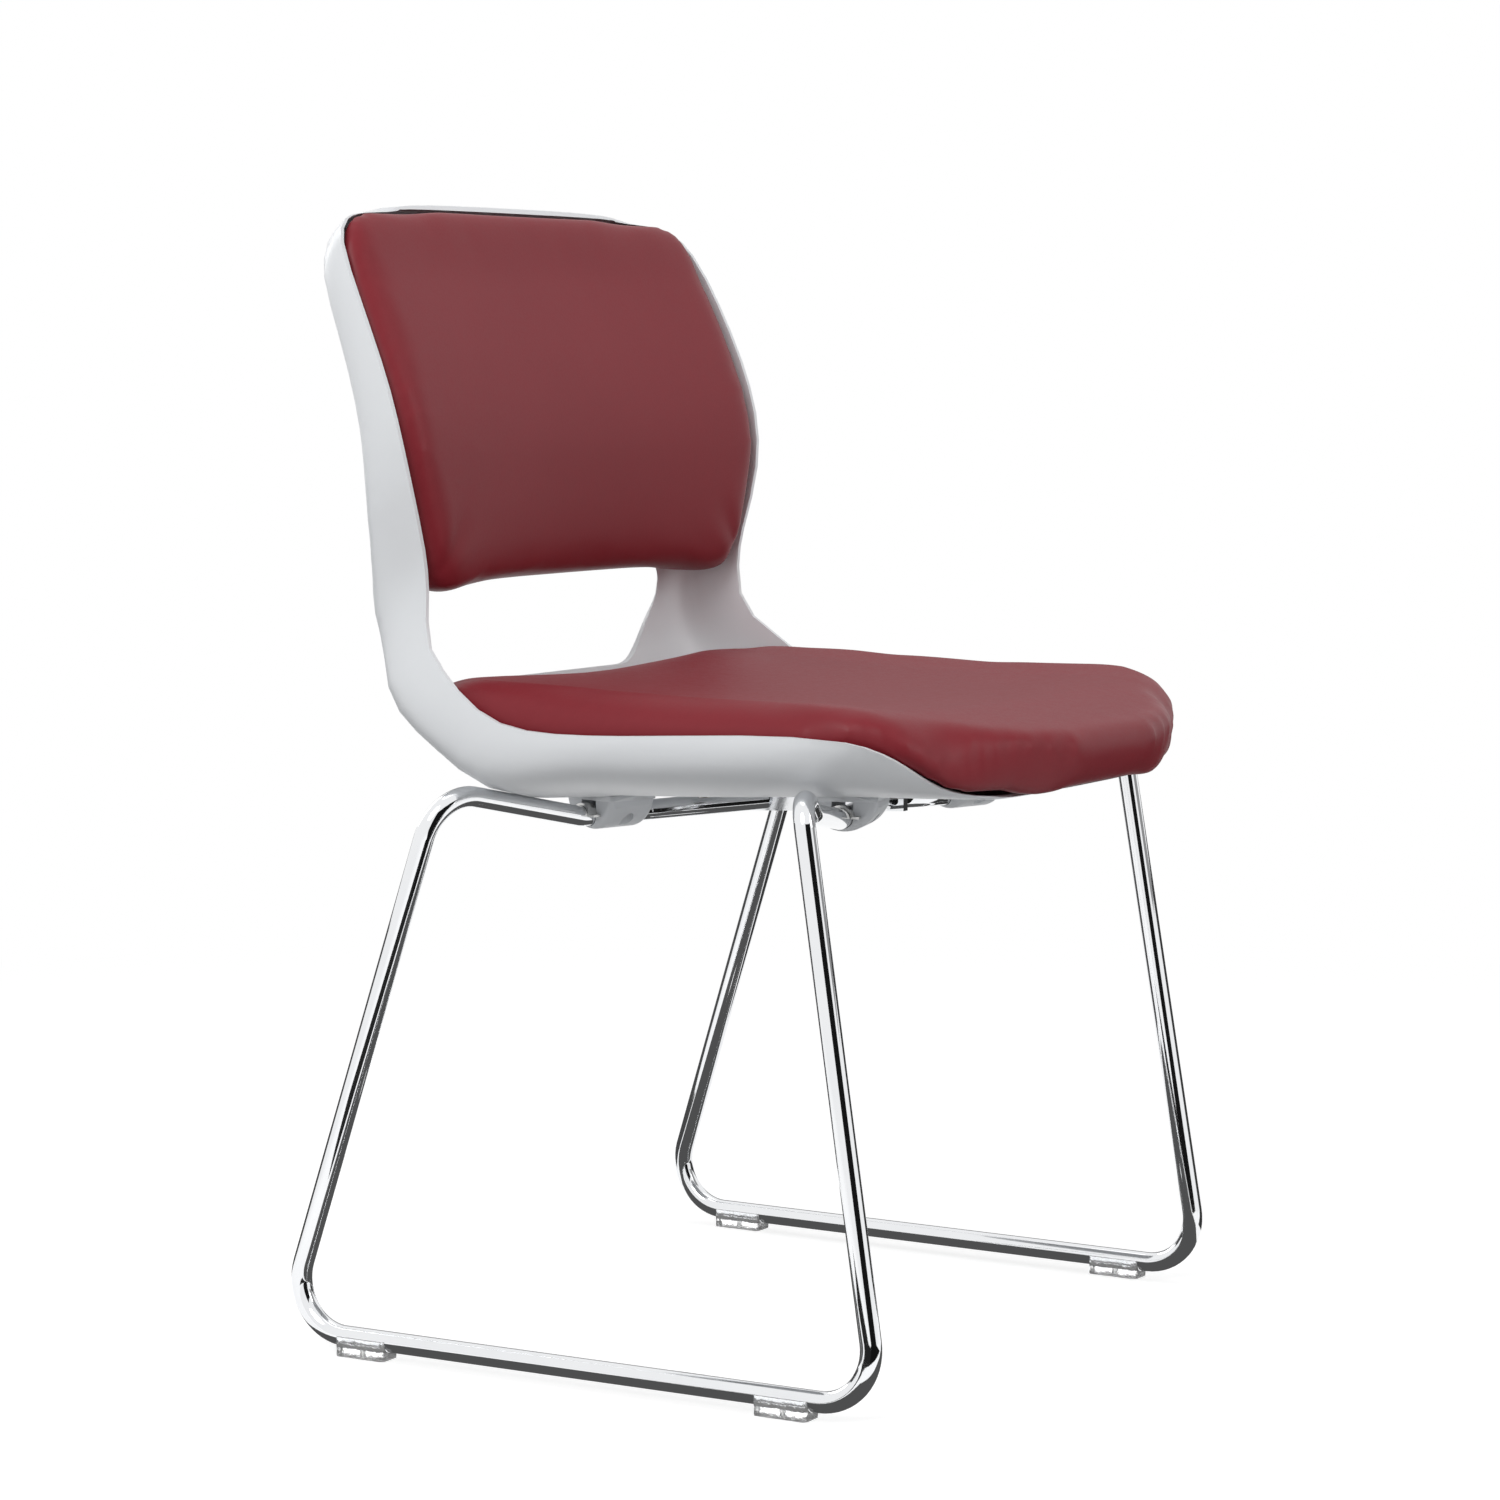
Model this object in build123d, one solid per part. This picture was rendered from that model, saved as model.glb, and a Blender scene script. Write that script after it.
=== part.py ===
from build123d import *
import math
import os

# Visitor chair: moulded shell, upholstered seat and back pads, chromed sled base.
# Millimetres, Z up, the sitter looks towards -Y, floor at Z = 0.
# Depths are written from the middle of the runners and moved by ORIGIN_Y on export.

ORIGIN_Y = 21.23

# Chromed tube frame
TUBE_R = 7.0
TUBE_WALL = 2.0
RUNNER_REAR_X = 245.5
RUNNER_FRONT_X = 238.0
RUNNER_REAR_Y = 226.4
RUNNER_FRONT_Y = -226.4
REAR_TOP_X = 236.0
REAR_TOP_Y = 105.0
REAR_TOP_Z = 381.0
FRONT_TOP_X = 229.5
FRONT_TOP_Y = -163.5
FRONT_TOP_Z = 400.0
FRONT_KNEE_X = 196.0
FRONT_KNEE_Y = -153.0
FRONT_KNEE_Z = 376.5
FOOT_BEND_R = 36.0
REAR_BEND_R = 30.0
FRONT_BEND_R = 18.0
KNEE_BEND_R = 20.0
SADDLE_BEND_R = 24.0

# Saddles under the seat, the right-hand pair; the left pair is its mirror image
SADDLE_X = 81.0
SADDLE_REAR_Y = 70.0
SADDLE_FRONT_Y = -116.0
SADDLE_LENGTH = 40.0
SADDLE_WIDTH = 46.0
SADDLE_TURN = 16.0
SADDLE_SEAT = 1.5
SADDLE_TUBE_DROP = 10.5
SADDLE_BELLY = 9.5
SADDLE_SKIRT = 4.0
SADDLE_ROUND = 5.0
TUBE_CLEARANCE = 0.3
STRAIGHT_BESIDE = 8.0

# Spine bar that the four tube ends are welded to
SPINE_THICK = 6.0
SPINE_HEIGHT = 16.0
SPINE_MARGIN = 14.0
SPINE_FRONT_Y = -100.0
SPINE_REAR_Y = -6.0
SPINE_DROP = 9.0

# Moulded shell
SHELL_WALL = 4.0
RIM_WALL = 3.4
SEAT_HALF = 228.0
WAIST_HALF = 202.0
BACK_HALF = 232.0
RIM_Z = 421.0
PAN_TILT = 0.05
FLOOR_Z = 369.0
SEAT_FRONT_Y = -245.0
LIP_Z = 384.5
BACK_RIM_Y = 135.0
WAIST_Z = 505.0
BACK_TOP_Z = 766.5
SUB_STATIONS = 2
SEAT_SQUARE = 2.8
BACK_SQUARE = 6.0

# Lumbar opening between the uprights
WINDOW_HALF = 148.0
WINDOW_BOTTOM_Z = 446.0
WINDOW_TOP_Z = 516.0
WINDOW_LOW_R = 42.0
WINDOW_HIGH_R = 18.0

# Ribs and bosses inside the seat pan
RIB_THICK = 3.0
RIB_SPAN = 104.0
RIB_ROOT = 2.4
RIB_FRONT_Y = -140.0
RIB_REAR_Y = 74.0
BOARD_Z = 405.0
BOARD_TILT = 0.04
BOSS_R = 8.0
PAD_SCREW_X = 45.0
PAD_SCREW_FRONT_Y = -130.0
PAD_SCREW_REAR_Y = 18.0

# Screws
SCREW_R = 2.0
SCREW_CLEARANCE = 0.4
SCREW_HEAD_R = 4.6
SCREW_HEAD_H = 3.0
SADDLE_SCREW_OFFSET = 15.5
SADDLE_SCREW_SEAT = 6.0
SADDLE_SCREW_BITE = 11.0
SPOT_FACE = 1.5
TEE_BARREL_R = 4.0
TEE_FLANGE_R = 8.0
TEE_FLANGE_H = 1.2

# Tube clips beside the saddles
CLIP_WIDTH = 6.5
CLIP_THICK = 1.6

# Pads
COVER = 1.6
FIT = 0.3
PAD_GAP = 1.0
SEAT_TOP_Z = 444.0
SEAT_DISH = 7.0
SEAT_SHOULDER = 16.0
SEAT_SIDE_BULGE = 0.08
SEAT_EDGE_BULGE = 0.2
SEAT_BOARD_THICK = 6.0
BOARD_INSET = 34.0
BOARD_SETBACK = 80.0
STAPLE_MARGIN = 20.0
BACK_PROUD = 5.0
BACK_HOLLOW = 11.0
BACK_SHOULDER = 13.0
BACK_SEAT_SHARE = 0.62
BACK_BOARD_THICK = 5.0
PANEL_GAP = 5.0
PEG_R = 3.0
PEG_BOSS_R = 6.5
PEG_X = 104.0
PEG_LOW_SHARE = 0.23
PEG_HIGH_SHARE = 0.57
PEG_BOSS_GAP = 1.0

# Glides
GLIDE_FLOOR = 5.0
GLIDE_LENGTH = 39.0
GLIDE_WIDTH = 19.0
GLIDE_TOP = 1.0
GLIDE_Y = 160.0
GLIDE_SOLE = 1.2
PIN_R = 2.0
PIN_REACH = 10.0

RUNNER_Z = GLIDE_FLOOR + TUBE_R


def floor_z(y):
    """Underside of the seat pan on the middle line."""
    return FLOOR_Z - PAN_TILT * y


def board_z(y):
    """Underside of the seat board, which rests on the ribs."""
    return BOARD_Z - BOARD_TILT * y


def shell_stations():
    """Half width, rim point (y, z), middle point (y, z), squareness: front lip to top edge."""
    f, lip, s, rim = SEAT_FRONT_Y, LIP_Z, SEAT_HALF, RIM_Z
    w, waist, b, r, top = WAIST_HALF, WAIST_Z, BACK_HALF, BACK_RIM_Y, BACK_TOP_Z
    return [
        (s - 116, (f + 5, lip), (f, lip - 2.5), SEAT_SQUARE),
        (s - 88, (f + 12.5, lip + 3), (f + 3, lip - 4), SEAT_SQUARE),
        (s - 60, (f + 20, lip + 11), (f + 9, floor_z(f + 9) - 1), SEAT_SQUARE),
        (s - 34, (f + 28, lip + 25), (f + 19, floor_z(f + 19) - 0.5), SEAT_SQUARE),
        (s - 14, (f + 40, lip + 36), (f + 34, floor_z(f + 34)), SEAT_SQUARE),
        (s - 3, (f + 57, rim + 4.5), (f + 56, floor_z(f + 56)), SEAT_SQUARE),
        (s, (f + 82, rim + 6), (f + 82, floor_z(f + 82)), SEAT_SQUARE),
        (s, (f + 155, rim + 4), (f + 155, floor_z(f + 155)), SEAT_SQUARE),
        (s, (f + 245, rim), (f + 245, floor_z(f + 245)), SEAT_SQUARE),
        (s, (45, rim + 1.5), (55, floor_z(55)), SEAT_SQUARE),
        (s - 2.5, (77, rim + 10), (107, floor_z(107) + 4), 3.4),
        (s - 7, (104, rim + 28), (146, rim - 25), 4.0),
        (s - 17, (r - 7, rim + 49), (r + 45, rim + 8), 5.0),
        (w + 2, (r + 1, waist - 18), (r + 57, waist - 23), BACK_SQUARE),
        (w, (r + 2, waist + 8), (r + 56, waist + 8), BACK_SQUARE),
        (b - 15, (r - 0.5, waist + 55), (r + 48.5, waist + 55), BACK_SQUARE),
        (b - 3, (r + 1, top - 166.5), (r + 47, top - 166.5), BACK_SQUARE),
        (b, (r + 10, top - 127), (r + 54, top - 127), BACK_SQUARE),
        (b - 1, (r + 27, top - 84), (r + 69, top - 83), BACK_SQUARE),
        (b - 4.5, (r + 44.5, top - 47), (r + 86, top - 45), BACK_SQUARE),
        (b - 12, (r + 56, top - 25), (r + 92.5, top - 20), BACK_SQUARE),
        (b - 24, (r + 62, top - 14), (r + 88, top - 8), 5.0),
        (b - 52, (r + 66, top - 8), (r + 78, top - 2), 4.0),
        (b - 92, (r + 68.5, top - 5.5), (r + 72, top), 3.0),
    ]


class ShellPath:
    """Smooth rim line and middle line through the stations, on one common parameter."""

    def __init__(self):
        stations = shell_stations()
        self.knots = [0.0]
        for here, there in zip(stations, stations[1:]):
            rim_step = math.dist((here[0], *here[1]), (there[0], *there[1]))
            mid_step = math.dist(here[2], there[2])
            self.knots.append(self.knots[-1] + math.hypot(rim_step, mid_step))
        rim_points = [(half, *rim) for half, rim, mid, power in stations]
        mid_points = [(10 * power, *mid) for half, rim, mid, power in stations]
        self.rim = Edge.make_spline(rim_points, parameters=self.knots)
        self.mid = Edge.make_spline(mid_points, parameters=self.knots)

    def samples(self):
        """Dense sections: half width, rim point, middle point, squareness."""
        result = []
        count = (len(self.knots) - 1) * SUB_STATIONS
        for step in range(count + 1):
            index = min(step // SUB_STATIONS, len(self.knots) - 2)
            share = step / SUB_STATIONS - index
            knot = self.knots[index] + (self.knots[index + 1] - self.knots[index]) * share
            result.append(self.section(knot / self.knots[-1]))
        return result

    def section(self, share):
        rim = self.rim.position_at(share, position_mode=PositionMode.PARAMETER)
        mid = self.mid.position_at(share, position_mode=PositionMode.PARAMETER)
        return rim.X, (rim.Y, rim.Z), (mid.Y, mid.Z), mid.X / 10

    def back_mid(self, z):
        """Middle of the back panel's rear face at a height, and its lean there."""
        low, high = self.knots[12] / self.knots[-1], 1.0
        for _ in range(40):
            share = (low + high) / 2
            if self.section(share)[2][1] < z:
                low = share
            else:
                high = share
        here = self.section(low - 0.004)[2]
        there = self.section(low + 0.004)[2]
        return self.section(low)[2][0], math.atan2(there[0] - here[0], there[1] - here[1])


def u_points(half, rim, mid, power):
    """Points of a squared U from one rim over the middle to the other rim."""
    angles = (0, 9, 20, 32, 45, 58, 70, 81, 90)
    points = []
    for degrees in [-a for a in angles[:0:-1]] + list(angles):
        turn = math.radians(abs(degrees))
        x = math.copysign(half * math.sin(turn) ** (2 / power), degrees)
        rise = 1 - max(math.cos(turn), 0.0) ** (2 / power)
        points.append((x, mid[0] + (rim[0] - mid[0]) * rise, mid[1] + (rim[1] - mid[1]) * rise))
    return points


def moved_in(rim, mid, wall):
    """Middle point moved towards the rim by the wall."""
    depth = math.dist(rim, mid)
    share = min(wall, 0.75 * depth) / depth
    return mid[0] + (rim[0] - mid[0]) * share, mid[1] + (rim[1] - mid[1]) * share


def shell_section(half, rim, mid, power):
    """Closed section through the wall: outer U, rim edge, inner U, rim edge."""
    outer = u_points(half, rim, mid, power)
    inner = u_points(half - RIM_WALL, rim, moved_in(rim, mid, SHELL_WALL), power)
    return Wire([
        Edge.make_spline(outer),
        Edge.make_line(outer[-1], inner[-1]),
        Edge.make_spline(inner[::-1]),
        Edge.make_line(inner[0], outer[0]),
    ])


def shell_body(path):
    """Loft through the wall sections from the front lip to the top edge."""
    return Solid.make_loft([shell_section(*sample) for sample in path.samples()], ruled=True)


def window_cut():
    """Lumbar opening between the uprights, cut from front to back."""
    centre = (WINDOW_TOP_Z + WINDOW_BOTTOM_Z) / 2
    face = Pos(0, centre) * Rectangle(2 * WINDOW_HALF, WINDOW_TOP_Z - WINDOW_BOTTOM_Z)
    face = fillet(face.vertices().group_by(Axis.Y)[0], WINDOW_LOW_R)
    face = fillet(face.vertices().group_by(Axis.Y)[-1], WINDOW_HIGH_R)
    return extrude(Plane.XZ.offset(-BACK_RIM_Y) * face, 150, both=True)


def saddle_frame(side, y):
    """Plane on the saddle's top: X along the tube, Z up."""
    turn = SADDLE_TURN if y < 0 else -SADDLE_TURN
    along = Vector(1, 0, 0).rotate(Axis.Z, -side * turn)
    return Plane((side * SADDLE_X, y, floor_z(y) - SADDLE_SEAT), x_dir=along, z_dir=(0, 0, 1))


def saddle_places():
    return [
        ("rear_right", -1, SADDLE_REAR_Y),
        ("rear_left", 1, SADDLE_REAR_Y),
        ("front_right", -1, SADDLE_FRONT_Y),
        ("front_left", 1, SADDLE_FRONT_Y),
    ]


def pad_screw_places():
    return [(x, y) for x in (-PAD_SCREW_X, PAD_SCREW_X)
            for y in (PAD_SCREW_FRONT_Y, PAD_SCREW_REAR_Y)]


def column(x, y, low, high, radius):
    """Upright round post between two heights."""
    return Pos(x, y, (low + high) / 2) * Cylinder(radius, high - low)


def yz_slab(points, half):
    """Side profile (y, z) drawn out to both sides of the middle plane."""
    return extrude(Plane.YZ * make_face(Polyline(*points, close=True)), half, both=True)


def pan_ribs():
    """Rib grid and screw bosses on the pan floor, level with the board's underside."""
    front, rear = RIB_FRONT_Y, RIB_REAR_Y
    profile = [
        (front, floor_z(front) + RIB_ROOT),
        (rear, floor_z(rear) + RIB_ROOT),
        (rear, board_z(rear)),
        (front, board_z(front)),
    ]
    whole = yz_slab(profile, RIB_SPAN)
    strips = []
    for x in (-PAD_SCREW_X, PAD_SCREW_X):
        strips.append(Pos(x, (front + rear) / 2, BOARD_Z) * Box(RIB_THICK, rear - front, 200))
    for y in (PAD_SCREW_FRONT_Y, (PAD_SCREW_FRONT_Y + PAD_SCREW_REAR_Y) / 2, PAD_SCREW_REAR_Y):
        strips.append(Pos(0, y, BOARD_Z) * Box(2 * RIB_SPAN, RIB_THICK, 200))
    for x, y in pad_screw_places():
        strips.append(column(x, y, BOARD_Z - 100, BOARD_Z + 100, BOSS_R))
    return whole & (Part() + strips)


def saddle_seats():
    """Flat seats under the pan and screw bosses above them."""
    pieces = []
    holes = []
    for name, side, y in saddle_places():
        frame = saddle_frame(side, y)
        root = SADDLE_SEAT + RIB_ROOT
        pieces.append(frame * Pos(0, 0, root / 2) * Box(SADDLE_LENGTH, SADDLE_WIDTH, root))
        for across in (-SADDLE_SCREW_OFFSET, SADDLE_SCREW_OFFSET):
            post = frame * Pos(0, across, 0)
            height = SADDLE_SCREW_BITE + SHELL_WALL
            pieces.append(post * Pos(0, 0, height / 2) * Cylinder(SCREW_R + 3, height))
            depth = SADDLE_SCREW_BITE + 1
            holes.append(post * Pos(0, 0, depth / 2) * Cylinder(SCREW_R + SCREW_CLEARANCE, depth))
    return pieces, holes


def peg_frame(path, x, z):
    """Plane on the back pad's rear face at a peg, Z pointing backwards out of the pad."""
    y, lean = path.back_mid(z)
    back = Vector(0, math.cos(lean), -math.sin(lean))
    point = Vector(x, y, z) - back * (SHELL_WALL + PANEL_GAP)
    return Plane(point, x_dir=(1, 0, 0), z_dir=back)


def peg_places():
    heights = [WAIST_Z + share * (BACK_TOP_Z - WAIST_Z) for share in (PEG_LOW_SHARE, PEG_HIGH_SHARE)]
    return [(x, z) for x in (-PEG_X, PEG_X) for z in heights]


def build_shell(path):
    shell = shell_body(path) - window_cut()
    pieces, holes = saddle_seats()
    pieces.append(pan_ribs())
    for x, y in pad_screw_places():
        spot = floor_z(y) - SPOT_FACE
        pieces.append(column(x, y, spot, floor_z(y) + RIB_ROOT, BOSS_R))
        holes.append(column(x, y, spot - 1, BOARD_Z + 20, SCREW_R + SCREW_CLEARANCE))
    for x, z in peg_places():
        frame = peg_frame(path, x, z)
        length = PANEL_GAP + SHELL_WALL / 2 - PEG_BOSS_GAP
        pieces.append(frame * Pos(0, 0, PEG_BOSS_GAP + length / 2) * Cylinder(PEG_BOSS_R, length))
        depth = PANEL_GAP + 1
        holes.append(frame * Pos(0, 0, depth / 2) * Cylinder(PEG_R + SCREW_CLEARANCE, depth))
    shell = shell + pieces
    return shell - holes


def tube_route():
    """Centre line of the right side frame, from the front weld round to the rear weld."""
    def through_saddle(y):
        frame = saddle_frame(-1, y)
        reach = SADDLE_LENGTH / 2 + STRAIGHT_BESIDE
        ends = [frame.from_local_coords((shift, 0, -SADDLE_TUBE_DROP)) for shift in (-reach, reach)]
        return sorted(ends, key=lambda point: point.X)

    front_out, front_in = through_saddle(SADDLE_FRONT_Y)
    rear_out, rear_in = through_saddle(SADDLE_REAR_Y)
    points = [
        (0, SPINE_FRONT_Y, floor_z(SPINE_FRONT_Y) - SPINE_DROP),
        front_in,
        front_out,
        (-FRONT_KNEE_X, FRONT_KNEE_Y, FRONT_KNEE_Z),
        (-FRONT_TOP_X, FRONT_TOP_Y, FRONT_TOP_Z),
        (-RUNNER_FRONT_X, RUNNER_FRONT_Y, RUNNER_Z),
        (-RUNNER_REAR_X, RUNNER_REAR_Y, RUNNER_Z),
        (-REAR_TOP_X, REAR_TOP_Y, REAR_TOP_Z),
        rear_out,
        rear_in,
        (0, SPINE_REAR_Y, floor_z(SPINE_REAR_Y) - SPINE_DROP),
    ]
    radii = [SADDLE_BEND_R, SADDLE_BEND_R, KNEE_BEND_R, FRONT_BEND_R, FOOT_BEND_R,
             FOOT_BEND_R, REAR_BEND_R, SADDLE_BEND_R, SADDLE_BEND_R]
    return FilletPolyline(*points, radius=radii)


def runner_frame(side, y):
    """Plane on the floor under the runner: Y along the runner, Z up."""
    front = Vector(side * RUNNER_FRONT_X, RUNNER_FRONT_Y, 0)
    rear = Vector(side * RUNNER_REAR_X, RUNNER_REAR_Y, 0)
    along = (rear - front).normalized()
    point = front + along * ((y - RUNNER_FRONT_Y) / along.Y)
    return Plane(point, x_dir=along.cross(Vector(0, 0, 1)), z_dir=(0, 0, 1))


def build_side_frame():
    """Right side frame: one bent tube with pin holes in the runner."""
    route = tube_route()
    section = Plane(route @ 0, z_dir=route % 0) * (Circle(TUBE_R) - Circle(TUBE_R - TUBE_WALL))
    tube = sweep(section, path=route)
    keep = Pos(0, 0, BOARD_Z / 2) * Box(SPINE_THICK, 400, BOARD_Z)
    holes = [keep]
    for y in (-GLIDE_Y, GLIDE_Y):
        place = runner_frame(-1, y)
        holes.append(place * Pos(0, 0, PIN_REACH / 2) * Cylinder(PIN_R + FIT, PIN_REACH))
    tube = tube - holes
    return max(tube.solids(), key=lambda solid: solid.volume)


def build_spine():
    """Flat bar on edge, parallel to the pan."""
    front = SPINE_FRONT_Y - SPINE_MARGIN
    rear = SPINE_REAR_Y + SPINE_MARGIN
    half = SPINE_HEIGHT / 2
    corners = []
    for y, up in ((front, -half), (rear, -half), (rear, half), (front, half)):
        corners.append((y, floor_z(y) - SPINE_DROP + up))
    return yz_slab(corners, SPINE_THICK / 2)


def build_saddle(side, y):
    """Boat-shaped block with an open tube channel and two screw holes."""
    depth = SADDLE_TUBE_DROP + SADDLE_BELLY
    half = SADDLE_WIDTH / 2
    outline = Polyline((-half, -SADDLE_SKIRT), (-half, 0), (half, 0), (half, -SADDLE_SKIRT))
    outline += ThreePointArc((half, -SADDLE_SKIRT), (0, -depth), (-half, -SADDLE_SKIRT))
    body = extrude(Plane.YZ * make_face(outline), SADDLE_LENGTH / 2, both=True)
    belly = body.edges().filter_by(GeomType.CIRCLE)
    body = fillet(belly, SADDLE_ROUND)
    channel_r = TUBE_R + TUBE_CLEARANCE
    channel = Pos(0, 0, -SADDLE_TUBE_DROP) * Rot(0, 90, 0) * Cylinder(channel_r, 2 * SADDLE_LENGTH)
    slot = Pos(0, 0, -SADDLE_TUBE_DROP / 2) * Box(
        2 * SADDLE_LENGTH, 2 * channel_r, SADDLE_TUBE_DROP)
    cuts = [channel, slot]
    for across in (-SADDLE_SCREW_OFFSET, SADDLE_SCREW_OFFSET):
        cuts.append(Pos(0, across, -depth / 2) * Cylinder(SCREW_R + SCREW_CLEARANCE, depth + 2))
        cuts.append(Pos(0, across, -SADDLE_SCREW_SEAT - depth / 2)
                    * Cylinder(SCREW_HEAD_R + SCREW_CLEARANCE, depth))
    return saddle_frame(side, y) * (body - cuts)


def screw(length):
    """Pan-head screw pointing up, head face at Z = 0."""
    head = Pos(0, 0, -SCREW_HEAD_H / 2) * Cylinder(SCREW_HEAD_R, SCREW_HEAD_H)
    head = fillet(head.edges().group_by(Axis.Z)[0], SCREW_HEAD_H * 0.4)
    return head + Pos(0, 0, length / 2) * Cylinder(SCREW_R, length)


def saddle_screws():
    result = []
    for name, side, y in saddle_places():
        for across in (-SADDLE_SCREW_OFFSET, SADDLE_SCREW_OFFSET):
            place = saddle_frame(side, y) * Pos(0, across, -SADDLE_SCREW_SEAT)
            result.append(place * screw(SADDLE_SCREW_SEAT + SADDLE_SCREW_BITE))
    return result


def pad_screws():
    result = []
    for x, y in pad_screw_places():
        spot = floor_z(y) - SPOT_FACE
        length = board_z(y) + SEAT_BOARD_THICK - spot - 1
        result.append(Pos(x, y, spot) * screw(length))
    return result


def tee_nuts():
    """Barrel in the board, flange on top of it."""
    result = []
    for x, y in pad_screw_places():
        low = board_z(y) + BOARD_TILT * TEE_BARREL_R + FIT
        top = board_z(y) + SEAT_BOARD_THICK + BOARD_TILT * TEE_FLANGE_R
        nut = column(x, y, low, top + TEE_FLANGE_H, TEE_BARREL_R)
        nut += column(x, y, top, top + TEE_FLANGE_H, TEE_FLANGE_R)
        result.append(nut - column(x, y, low - 1, top + 3, SCREW_R + FIT))
    return result


def tube_clips():
    """Steel half rings on the tube beside each saddle, hooked over its top."""
    inner = TUBE_R + TUBE_CLEARANCE
    ring = Circle(inner + CLIP_THICK) - Circle(inner)
    ring -= Pos(0, -inner) * Rectangle(4 * inner, 2 * inner)
    clip = extrude(Plane.YZ * ring, CLIP_WIDTH / 2, both=True)
    ear = Pos(0, inner + CLIP_THICK + 1.5, CLIP_THICK / 2) * Box(CLIP_WIDTH, 5, CLIP_THICK)
    clip = clip + ear + mirror(ear, about=Plane.XZ)
    result = []
    for name, side, y in saddle_places():
        out = side * (SADDLE_LENGTH / 2 + FIT + CLIP_WIDTH / 2)
        result.append(saddle_frame(side, y) * Pos(out, 0, -SADDLE_TUBE_DROP) * clip)
    return result


def refine(rows):
    """Rows between the given ones, on monotone cubic curves over the first column."""
    places = [row[0] for row in rows]
    columns = list(zip(*rows))
    slopes = []
    for column_values in columns:
        secants = [(v1 - v0) / (p1 - p0) for v0, v1, p0, p1 in
                   zip(column_values, column_values[1:], places, places[1:])]
        inner = [2 * a * b / (a + b) if a * b > 0 else 0.0 for a, b in zip(secants, secants[1:])]
        slopes.append([secants[0], *inner, secants[-1]])
    result = []
    for index in range(len(rows) - 1):
        step = places[index + 1] - places[index]
        for part in range(SUB_STATIONS):
            t = part / SUB_STATIONS
            row = []
            for values, slope in zip(columns, slopes):
                v0, v1 = values[index], values[index + 1]
                m0, m1 = slope[index] * step, slope[index + 1] * step
                row.append(v0 + m0 * t + (3 * (v1 - v0) - 2 * m0 - m1) * t ** 2
                           + (2 * (v0 - v1) + m0 + m1) * t ** 3)
            result.append(tuple(row))
    return result + [rows[-1]]


def seat_pad_stations():
    """Depth, low half width and height, half width and its height, shoulder and middle heights."""
    f, lip, top, dish = SEAT_FRONT_Y, LIP_Z, SEAT_TOP_Z, SEAT_DISH
    wide = SEAT_HALF - RIM_WALL - PAD_GAP
    rows = [
        (f - 25, wide - 202, lip + 21, wide - 179, lip + 26.5, lip + 31, lip + 30.7),
        (f - 19, wide - 187, lip + 17, wide - 144, lip + 28, lip + 34, lip + 33.5),
        (f - 10, wide - 160, lip + 10, wide - 112, lip + 31, lip + 38, lip + 37.4),
        (f + 2, wide - 152, lip + 5, wide - 80, lip + 33, lip + 41, lip + 40),
        (f + 15, wide - 90, lip + 9, wide - 56, lip + 34.5, lip + 44.5, lip + 43),
        (f + 28, wide - 50, lip + 21.5, wide - 23, lip + 40, top - 9, top - 12),
        (f + 40, wide - 30, lip + 28, wide - 12.5, lip + 48, top - 5, top - 0.65 * dish - 5),
        (f + 57, wide - 15, board_z(f + 57) - COVER - FIT, wide - 5, RIM_Z + 9, top - 2,
         top - 0.9 * dish - 2),
    ]
    for y, narrow, drop in ((f + 82, 1, 0), (f + 155, 0.5, 0), (f + 245, 0.5, 0), (45, 1.5, 0),
                            (77, 3.5, 0), (100, 9, 0), (115, 18, 3), (126, 34, 10), (132, 54, 20)):
        low = board_z(y) - COVER - FIT
        rim = RIM_Z + 5 - max(0, drop - 6)
        shoulder = top - drop
        middle = shoulder - dish * (1 - drop / 24)
        rows.append((y, wide - narrow - 7, low, wide - narrow, rim, shoulder, middle))
    return refine(rows)


def bulged(start, end, share):
    """Arc that swells to the right of the way from start to end by a share of its length."""
    along, up = end[0] - start[0], end[1] - start[1]
    middle = ((start[0] + end[0]) / 2 + share * up, (start[1] + end[1]) / 2 - share * along)
    return ThreePointArc(start, middle, end)


def seat_pad_body(inset):
    """Dished seat pad with a rounded nose, drawn in by the inset on every side."""
    rows = seat_pad_stations()
    wires = []
    for index, (y, low_half, low, half, mid, shoulder, middle) in enumerate(rows):
        shift = inset if index == 0 else -inset if index == len(rows) - 1 else 0
        plane = Plane.XZ.offset(-(y + shift))
        a = (low_half - inset, low + inset)
        b = (half - inset, mid)
        roll = SEAT_SHOULDER * min(1.0, (shoulder - low) / 40)
        c = (half - roll - inset / 2, shoulder - inset)
        left_a, left_b, left_c = [(-x, z) for x, z in (a, b, c)]
        outline = Line(left_a, a)
        outline += bulged(a, b, SEAT_SIDE_BULGE)
        outline += bulged(b, c, SEAT_EDGE_BULGE)
        outline += ThreePointArc(c, (0, middle - inset), left_c)
        outline += bulged(left_c, left_b, SEAT_EDGE_BULGE)
        outline += bulged(left_b, left_a, SEAT_SIDE_BULGE)
        wires.append((plane * make_face(outline)).face().outer_wire())
    return Solid.make_loft(wires, ruled=True)


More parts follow.
